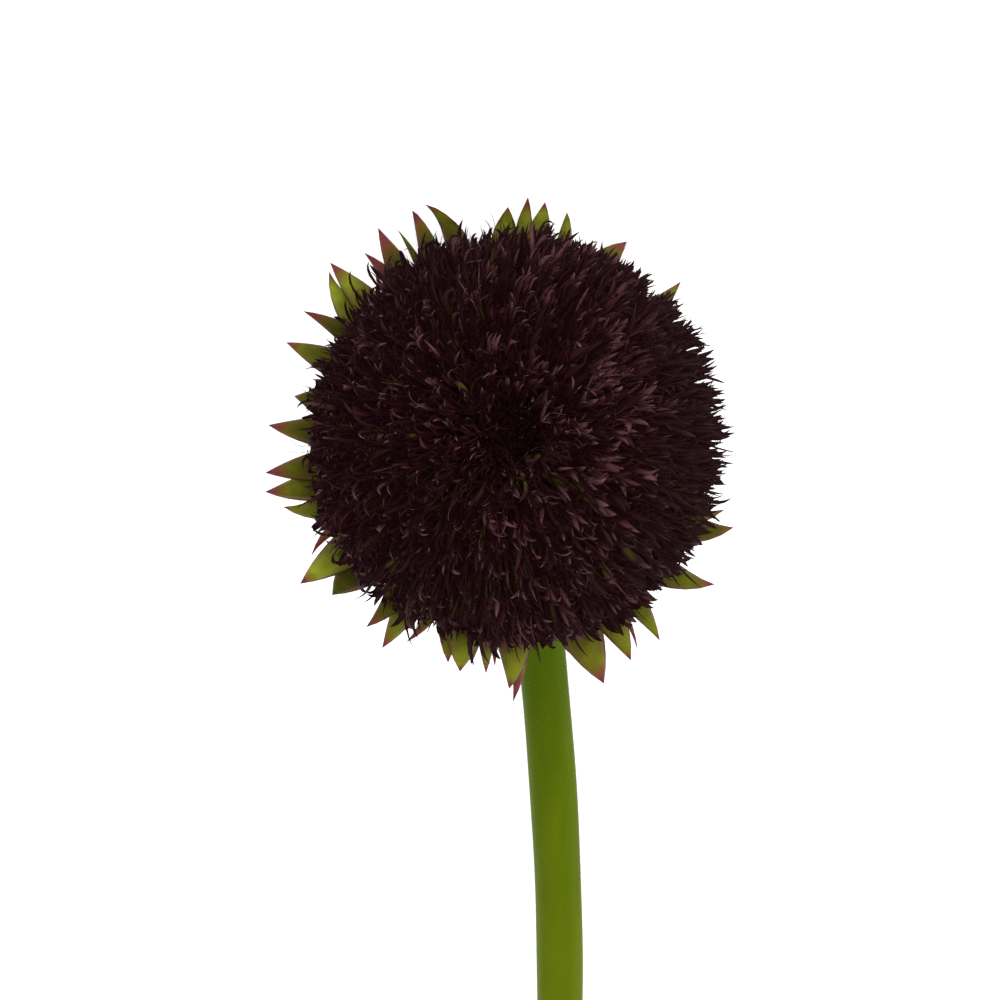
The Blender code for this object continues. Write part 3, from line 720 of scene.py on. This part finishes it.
def core(material):
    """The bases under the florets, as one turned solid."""
    outline = [(0.0, CORE_BOTTOM), (CORE_FOOT, CORE_BOTTOM)]
    for k in range(CORE_RINGS + 1):
        angle = math.pi / 2 * (1 - k / CORE_RINGS)
        outline.append((CORE_RADIUS * math.sin(angle), DOME_CENTRE + CORE_HEIGHT * math.cos(angle)))
    points, faces = turned(outline, TURNED_SIDES)
    add_object("floret_bed", head_to_part(points), faces, {}, material, "burgundy")


def turned(outline, sides):
    """Points and faces of a closed outline of (radius, a), from the bottom up, turned about the axis."""
    points, rows = [], []
    for radius, a in outline:
        if radius < 1e-9:
            rows.append([len(points)] * sides)
            points.append((0.0, 0.0, a))
        else:
            rows.append(list(range(len(points), len(points) + sides)))
            points += around(radius, 2 * math.pi * np.arange(sides) / sides, a).tolist()
    faces = []
    for low, high in zip(rows, rows[1:] + rows[:1]):
        for k in range(sides):
            n = (k + 1) % sides
            corners = dict.fromkeys((low[k], low[n], high[n], high[k]))
            if len(corners) > 2:
                faces.append(tuple(corners))
    return np.array(points), faces


def buds(material):
    """The closed florets in the middle: short, thick, pointed, leaning in."""
    count = BUDS
    draw = np.random.default_rng(SEED + 7)
    share = np.sqrt((np.arange(count) + 0.5) / count)
    turn = np.arange(count) * GOLDEN_ANGLE
    root = around(BUD_PATCH * MM * share, turn, np.full(count, BUD_FOOT * MM))
    height = (BUD_HEIGHT + BUD_TALLER * share**2) * MM * draw.uniform(*BUD_UNEVEN, count)
    tilt = share * BUD_TILT - BUD_TILT_IN + draw.normal(0, BUD_TILT_STRAY, count)
    bend = draw.normal(*BUD_BEND, count)
    t = np.linspace(0, 1, BUD_STATIONS)
    out, down = around(0.0, turn, 1.0), around(1.0, turn, 0.0)
    opened = (tilt[:, None] + bend[:, None] * t)[..., None]
    way = np.cos(opened) * out[:, None] + np.sin(opened) * down[:, None]
    steps = (way[:, 1:] + way[:, :-1]) / 2 * (height / (BUD_STATIONS - 1))[:, None, None]
    path = np.concatenate((np.zeros_like(steps[:, :1]), np.cumsum(steps, axis=1)), axis=1)
    centres = root[:, None] + path
    outline = 0.75 + 0.35 * np.sin(math.pi * t) - 0.65 * t**3
    radius = (draw.uniform(*BUD_RADIUS, count) * MM)[:, None] * outline[None]
    points, faces, values, per = tubes(centres, np.cross(out, down)[:, None], radius, BUD_SIDES)
    values["own"] = np.repeat(draw.uniform(0, BUD_OWN, count) * share**2, per)
    values["tip"] = np.repeat((draw.uniform(0, 1, count) > BUD_TIP_FROM) * BUD_TIP, per)
    for key in ("green", "brown", "cross"):
        values[key] = np.zeros(len(points))
    points = head_to_part(points)
    add_object("centre_buds", points, faces, values, material, "dark_centre", "centre_florets")


# Bracts


def place_seen(x, y, a):
    """The (u, v) of a point at height a that the photograph shows at this pixel."""
    u, v = (x - PHOTO_CENTRE[0]) * PIXEL, (PHOTO_CENTRE[1] - y) * PIXEL
    nearer = 1 - (a - u * math.tan(CAMERA_LEFT) - v * math.tan(CAMERA_DOWN)) / CAMERA_DISTANCE
    return (
        u * nearer / math.cos(CAMERA_LEFT) - a * math.tan(CAMERA_LEFT),
        v * nearer / math.cos(CAMERA_DOWN) - a * math.tan(CAMERA_DOWN),
    )


def tip_place(x, y, a):
    """The (u, v) that a tip at height a needs, to show at this pixel once it is lifted onto the surface."""
    u, v = place_seen(x, y, a)
    for _ in range(3):
        surface = (v * math.sin(HEAD_TILT) - HEAD_CENTRE[2] + TIP_HEIGHT) / math.cos(HEAD_TILT)
        u, v = place_seen(x, y, max(a, surface))
    return u, v + max(surface - a, 0) * math.tan(HEAD_TILT)


def spread_bracts():
    """The longest bracts all round: those of the photograph, and hidden ones in the gaps between them.

    Each is its turn, reach, lean, half width, row, droop, redness and lightness.
    """
    draw = random.Random(SEED)
    seen = sorted(
        (math.atan2(PHOTO_CENTRE[1] - y, x - PHOTO_CENTRE[0]) % (2 * math.pi), x, y, *rest)
        for x, y, *rest in PHOTO_BRACTS
    )
    made = []
    for i, (seen_turn, x, y, lean, half, red, light) in enumerate(seen):
        row, droop = SPREAD_ROWS[len(made) % 2], draw.uniform(0.0, BRACT_DROOP)
        u, v = tip_place(x, y, row[2] * MM - droop)
        turn, reach = math.atan2(v, u), math.hypot(u, v)
        made.append((turn, reach, math.radians(lean), half * MM, row, droop, red, light))
        gap = (seen[(i + 1) % len(seen)][0] - seen_turn) % (2 * math.pi)
        hidden = int(gap / HIDDEN_STEP) - 1
        for k in range(hidden):
            turn, reach = seen_turn + gap * (k + 1) / (hidden + 1), draw.uniform(*HIDDEN_REACH)
            row, droop = SPREAD_ROWS[len(made) % 2], draw.uniform(0.0, BRACT_DROOP)
            made.append((turn, reach, 0.0, BRACT_HALF_WIDTH, row, droop, HIDDEN_RED, HIDDEN_LIGHT))
    return made


def lower_bracts():
    """The shorter bracts under them, in the same terms."""
    draw = random.Random(SEED + 1)
    made = []
    for row in LOWER_ROWS:
        least, most, count, droop = row[3:]
        for k in range(count):
            turn = 2 * math.pi * (k + draw.uniform(-LOWER_SWAY, LOWER_SWAY)) / count
            reach = draw.uniform(least, most) * MM
            made.append((turn, reach, 0.0, BRACT_HALF_WIDTH, row, droop * MM, HIDDEN_RED, LOWER_LIGHT))
    return made


def bracts(material):
    """Every bract as a channelled, pointed leaf, laid flat where it meets the surface."""
    draw = np.random.default_rng(SEED + 20)
    t = np.linspace(0, 1, BRACT_STATIONS)
    made = spread_bracts() + lower_bracts()
    centres, sides, halves = [], [], []
    for turn, reach, lean, half, row, droop, _, _ in made:
        root_radius, root_a, spread_a = (size * MM for size in row[:3])
        length = reach - root_radius
        aside = -math.tan(lean) * length * (1 - t**BRACT_HOOK) / BRACT_HOOK
        a = root_a + (spread_a - root_a) * (1 - (1 - t) ** 2) - droop * t**3
        centres.append(around(root_radius + t * length, turn, a) + around(aside, turn + math.pi / 2, 0.0))
        sides.append(around(1.0, turn + math.pi / 2, 0.0))
        halves.append(half * (1 - t ** (BRACT_POINT * half / BRACT_HALF_WIDTH)))
    centres, halves, sides = np.array(centres), np.array(halves), np.array(sides)
    count = len(centres)
    across, lift = frames_along(centres, -sides[:, None])
    fold = halves * draw.uniform(*BRACT_FOLD, count)[:, None]
    thick = np.minimum(BRACT_THICK, halves * 0.5)
    points, faces, values, per = blades(centres, across, lift, halves, thick, fold, BRACT_COLUMNS)
    values["red"] = np.repeat([bract[6] for bract in made], per)
    values["light"] = np.repeat([bract[7] for bract in made], per)
    points = head_to_part(points)
    section = 2 * BRACT_COLUMNS - 2
    upper = np.append(np.tile(np.arange(section) < BRACT_COLUMNS, BRACT_STATIONS - 1), True)
    least = np.where(np.tile(upper, count), LEAST_LIFT, 0.0)
    points[:, 2] = np.maximum(points[:, 2], least)
    add_object("bracts", points, faces, values, material, "bract_green", "involucre")


def cup(material):
    """The green shell that the bracts grow from."""
    inner = [(radius * MM + GAP, a * MM) for radius, a in RECEPTACLE[1:]]
    outer = [(radius + CUP_WALL, a - CUP_DROP) for radius, a in inner[:-1]]
    outer.append((inner[-1][0] + CUP_RIM_WALL, inner[-1][1]))
    points, faces = turned(outer + inner[::-1], TURNED_SIDES)
    zeros = np.zeros(len(points))
    values = {"along": zeros, "light": zeros + LOWER_LIGHT, "cross": zeros, "red": zeros + CUP_RED}
    add_object("involucre_cup", head_to_part(points), faces, values, material, "bract_green")


# Stem


def lying(y):
    return np.array((BOW - BOW_BEND * (y - BOW_Y) ** 2, y, STEM_HEIGHT))


def between(start, start_way, end, end_way, t):
    return (
        start * (1 - 3 * t**2 + 2 * t**3)
        + end * (3 * t**2 - 2 * t**3)
        + start_way * (t - 2 * t**2 + t**3)
        + end_way * (t**3 - t**2)
    )


def stem_path():
    """Middle points and radius of the stem, from its cut end through the neck to the receptacle."""
    foot = HEAD_CENTRE + A_AXIS * RECEPTACLE[0][1] * MM
    lying_points = [lying(y) for y in np.linspace(STEM_END_Y, NECK_Y, LYING_STATIONS)]
    way = unit(lying(NECK_Y + MM) - lying(NECK_Y - MM))
    start, start_way, end_way = lying_points[-1], way * NECK_PULL, A_AXIS * NECK_PULL
    shares = np.linspace(0, 1, NECK_STATIONS)[1:-1]
    neck = [between(start, start_way, foot, end_way, t) for t in shares]
    grid = np.linspace(0, len(RECEPTACLE) - 1, TOP_STATIONS)
    radii = np.interp(grid, range(len(RECEPTACLE)), [r for r, _ in RECEPTACLE]) * MM
    heights = np.interp(grid, range(len(RECEPTACLE)), [a for _, a in RECEPTACLE]) * MM
    top = [HEAD_CENTRE + A_AXIS * a for a in heights]
    points = np.array(lying_points + neck + top)
    radius = np.concatenate((np.full(len(lying_points) + len(neck), STEM_RADIUS), radii))
    return points, radius


def stem(material):
    """The stem's skin, faintly ridged, with its slanting cut."""
    sides = STEM_SIDES
    path, radius = stem_path()
    count = len(path)
    ahead = unit(np.gradient(path, axis=0))
    across = unit(np.cross((0.0, 0.0, 1.0), ahead))
    lift = np.cross(ahead, across)
    turns = 2 * math.pi * np.arange(sides) / sides
    ridges, swells = np.ones(sides), np.ones(count)
    for depth, number, start in STEM_RIDGES:
        ridges += depth * np.cos(number * turns + start)
    for depth, step, start in STEM_SWELLS:
        swells += depth * np.sin(np.arange(count) * step + start)
    size = radius[:, None] * ridges[None] * swells[:, None]
    aside, high = size * np.cos(turns), size * np.sin(turns)
    points = path[:, None] + across[:, None] * aside[..., None] + lift[:, None] * high[..., None]
    points[0] += ahead[0] * (high[0] * math.tan(CUT_SLANT))[:, None]
    points[..., 2] = np.maximum(points[..., 2], 0.0)
    rim = points[0]
    middle = rim.mean(axis=0)
    face_rings = [middle + (rim - middle) * share for share in CUT_INSETS]
    all_points = np.concatenate((points.reshape(-1, 3), *face_rings, middle[None], path[-1:]))
    faces = []
    for ring in range(count - 1):
        for k in range(sides):
            here, beside = ring * sides + k, ring * sides + (k + 1) % sides
            faces.append((here, beside, beside + sides, here + sides))
    base = count * sides
    for ring in range(len(CUT_INSETS) - 1):
        for k in range(sides):
            here, beside = base + ring * sides + k, base + ring * sides + (k + 1) % sides
            faces.append((here, here + sides, beside + sides, beside))
    inner = base + (len(CUT_INSETS) - 1) * sides
    centre, top = len(all_points) - 2, len(all_points) - 1
    faces += [(inner + k, centre, inner + (k + 1) % sides) for k in range(sides)]
    last = (count - 1) * sides
    faces += [(last + k, last + (k + 1) % sides, top) for k in range(sides)]
    on_face = len(CUT_INSETS) * sides
    along = np.concatenate((np.repeat(np.linspace(0, 1, count), sides), np.zeros(on_face), (0, 1)))
    cut = np.concatenate((np.zeros(base), np.ones(on_face), (1, 0)))
    depth = np.concatenate((np.zeros(base), np.repeat(CUT_INSETS, sides), (0, 0)))
    values = {"along": along, "cut": cut, "depth": depth}
    add_object("stem_skin", all_points, faces, values, material, "stem_green", "stem")


def down(material):
    """Short soft hairs all over the stem."""
    count = HAIRS
    draw = np.random.default_rng(SEED + 30)
    path, radius = stem_path()
    path, radius = path[:-BARE_STATIONS], radius[:-BARE_STATIONS]
    ahead = unit(np.gradient(path, axis=0))
    pick = draw.uniform(1, len(path) - 2, count)
    low = pick.astype(int)
    part = (pick - low)[:, None]
    centre = path[low] * (1 - part) + path[low + 1] * part
    forward = ahead[low]
    across = unit(np.cross((0.0, 0.0, 1.0), forward))
    lift = np.cross(forward, across)
    turn = draw.uniform(0, 2 * math.pi, count)[:, None]
    out = across * np.cos(turn) + lift * np.sin(turn)
    root = centre + out * (radius[low] * HAIR_ROOT)[:, None]
    way = unit(out + draw.normal(0, HAIR_STRAY, (count, 3)))
    length = (draw.uniform(*HAIR_LENGTH, count) * MM)[:, None]
    middle, tip = root + way * length * 0.5, root + unit(way + forward * HAIR_LEAN) * length
    keep = (root[:, 2] > HAIR_ROOT_CLEAR) & (tip[:, 2] > HAIR_TIP_CLEAR)
    centres = np.stack((root, middle, tip), axis=1)[keep]
    thickness = np.tile(np.array(HAIR_RADII) * MM, (len(centres), 1))
    points, faces, values, _ = tubes(centres, forward[keep][:, None], thickness, 3)
    add_object("stem_down", points, faces, values, material, "stem_green")


# Stage


def stage():
    """A white surface that glows a little, as a light table does, soft light all round, and a softbox."""
    bpy.ops.mesh.primitive_plane_add(size=FLOOR_SIZE, location=(0, 0, 0))
    floor = bpy.context.object
    floor.name = "floor"
    made, _, _, shader = shader_of("floor", 1.0, 0.0)
    shader.inputs["Base Color"].default_value = (FLOOR_GREY, FLOOR_GREY, FLOOR_GREY, 1)
    shader.inputs["Emission Color"].default_value = (1, 1, 1, 1)
    shader.inputs["Emission Strength"].default_value = FLOOR_GLOW
    floor.data.materials.append(made)
    world = bpy.data.worlds.new("white")
    world.use_nodes = True
    world.node_tree.nodes["Background"].inputs["Color"].default_value = (1, 1, 1, 1)
    world.node_tree.nodes["Background"].inputs["Strength"].default_value = WORLD_LIGHT
    bpy.context.scene.world = world
    light = bpy.data.lights.new("softbox", "AREA")
    light.shape = "RECTANGLE"
    light.size, light.size_y = SOFTBOX_SIZE, SOFTBOX_SIZE
    light.energy = SOFTBOX_POWER
    lamp = bpy.data.objects.new("softbox", light)
    bpy.context.scene.collection.objects.link(lamp)
    way = unit(np.array(SOFTBOX_WAY))
    lamp.location = HEAD_CENTRE + way * SOFTBOX_DISTANCE
    lamp.rotation_mode = "QUATERNION"
    lamp.rotation_quaternion = (-Vector(way)).to_track_quat("-Z", "Y")
    bpy.context.scene.view_settings.view_transform = "Standard"


def camera():
    """The photograph's view: along the head's axis, with the stem running down the picture."""
    back = unit(A_AXIS - U_AXIS * math.tan(CAMERA_LEFT) - V_AXIS * math.tan(CAMERA_DOWN))
    up = unit(V_AXIS - back * (V_AXIS @ back))
    right = np.cross(up, back)
    middle = PHOTO_SIZE / 2
    aim = HEAD_CENTRE + right * (middle - PHOTO_CENTRE[0]) * PIXEL - up * (middle - PHOTO_CENTRE[1]) * PIXEL
    data = bpy.data.cameras.new("camera")
    data.sensor_width = SENSOR
    data.lens = SENSOR * CAMERA_DISTANCE / (PHOTO_SIZE * PIXEL)
    data.clip_start, data.clip_end = 0.01, 50.0
    obj = bpy.data.objects.new("camera", data)
    bpy.context.scene.collection.objects.link(obj)
    turned_by = Matrix((right, up, back)).transposed()
    obj.rotation_mode = "QUATERNION"
    obj.rotation_quaternion = turned_by.to_quaternion()
    obj.location = aim + back * CAMERA_DISTANCE
    bpy.context.scene.camera = obj


def main():
    camera()
    stage()
    petal = floret_material("petal")
    core(plain_material("bed", BED_COLOURS[0], 0.8, 0.05, BED_COLOURS[1]))
    outer = Florets(*OUTER_FLORETS, SEED + 2)
    inner = Florets(*INNER_FLORETS, SEED + 3)
    low = Florets(*LOW_FLORETS, SEED + 4)
    petals("florets_outer", outer, TONGUE, petal, "florets")
    petals("florets_inner", inner, TONGUE, petal)
    petals("florets_low", low, LOW_PETAL, petal)
    petals("lobes_outer", outer, SIDE_LOBE, petal)
    petals("lobes_inner", inner, SIDE_LOBE, petal)
    bristles(thread_material())
    buds(floret_material("bud", BUD_PAINTED_GLOW))
    green = bract_material()
    bracts(green)
    cup(green)
    stem(stem_material())
    down(plain_material("down", DOWN_COLOUR, 0.7, 0.05))


main()
